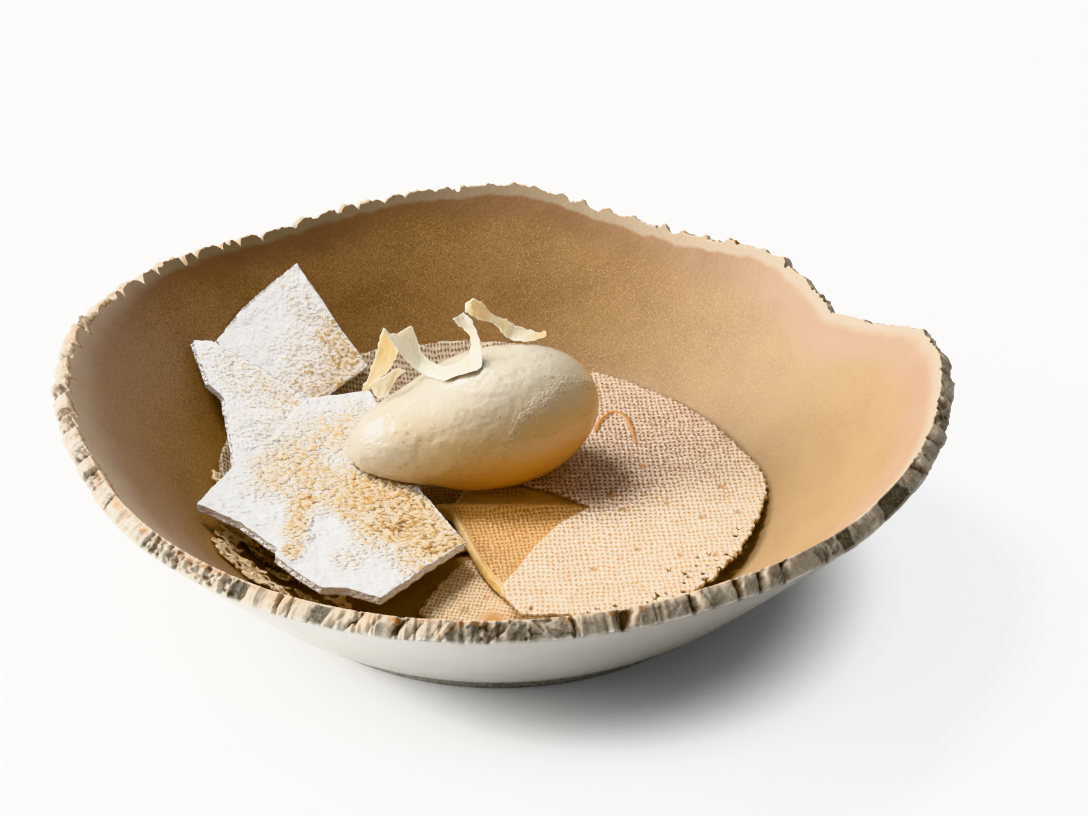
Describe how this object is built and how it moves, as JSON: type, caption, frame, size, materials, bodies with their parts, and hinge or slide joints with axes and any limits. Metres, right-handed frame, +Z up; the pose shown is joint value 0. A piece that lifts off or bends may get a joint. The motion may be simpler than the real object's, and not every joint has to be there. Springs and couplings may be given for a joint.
{
  "type": "plated creme brulee in a torn-rim bowl",
  "caption": "Wide stoneware bowl with a broken rim holding lace wafers, a folded custard sheet, toasted meringue shards and an oval spoonful of ice cream with dried milk curls.",
  "frame": {"origin": "middle of the foot's underside, on the bowl's axis", "axes": "+Z up out of the bowl, +X to the right of the dish, where the large lace wafer lies, +Y to its back"},
  "size_m": [0.2303, 0.2239, 0.065],
  "materials": {
    "stoneware": "satin",
    "dark_wafer": "matte",
    "pale_wafer": "matte",
    "custard": "satin",
    "meringue": "matte",
    "ice_cream": "satin",
    "milk_curl": "satin"
  },
  "bodies": {
    "root": {"bowl": "stoneware", "lace_base": "dark_wafer", "lace_front": "dark_wafer", "lace_right": "pale_wafer", "custard_fold": "custard", "meringue_front": "meringue", "meringue_left": "meringue", "meringue_back": "meringue", "ice_cream": "ice_cream", "curl_left": "milk_curl", "curl_small": "milk_curl", "curl_right": "milk_curl"}
  },
  "joints": []
}
